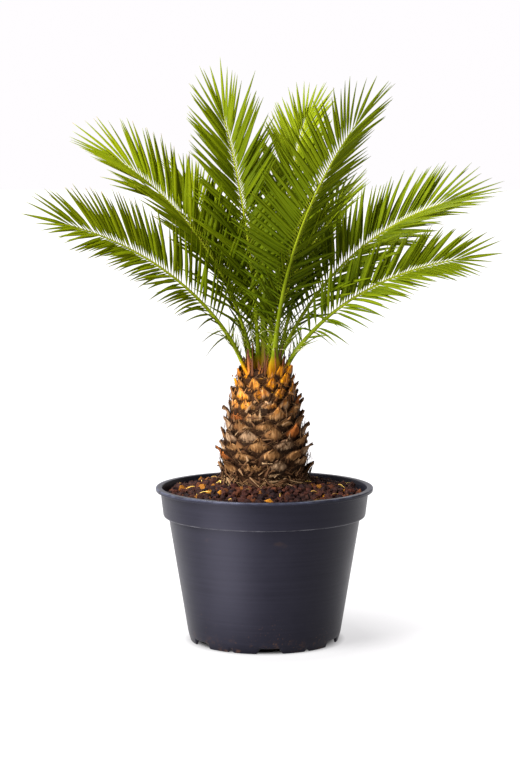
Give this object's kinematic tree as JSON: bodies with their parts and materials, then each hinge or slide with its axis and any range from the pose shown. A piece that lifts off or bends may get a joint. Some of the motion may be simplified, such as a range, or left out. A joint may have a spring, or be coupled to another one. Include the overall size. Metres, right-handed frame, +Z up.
{
  "type": "potted palm",
  "caption": "Young date palm with arching feather fronds on a short trunk of trimmed leaf bases, in a tapered round nursery pot topped with lava gravel.",
  "frame": {"origin": "centre of the pot's foot, on the ground", "axes": "+Z up along the pot's axis and the trunk, -Y towards the front of the plant, +X to its right as seen from the front"},
  "size_m": [0.854, 0.69, 1.0688],
  "materials": {
    "pot_plastic": "satin, faint moulding lines",
    "potting_soil": "crumbly, moist",
    "lava_mulch": "porous, rough",
    "leaf_bases": "dry, fibrous",
    "palm_leaf": "leathery, slightly waxy"
  },
  "bodies": {
    "root": {"pot": "pot_plastic", "potting_soil": "potting_soil", "lava_mulch": "lava_mulch", "trunk": "leaf_bases", "spear_leaf": "palm_leaf", "frond_front_right": "palm_leaf", "frond_front_inner": "palm_leaf", "frond_left_low": "palm_leaf", "frond_right_low": "palm_leaf", "frond_left_high": "palm_leaf", "frond_right_high": "palm_leaf", "frond_back_high": "palm_leaf", "frond_back_upper": "palm_leaf", "frond_back": "palm_leaf", "frond_back_right": "palm_leaf", "frond_back_left": "palm_leaf"}
  },
  "joints": []
}
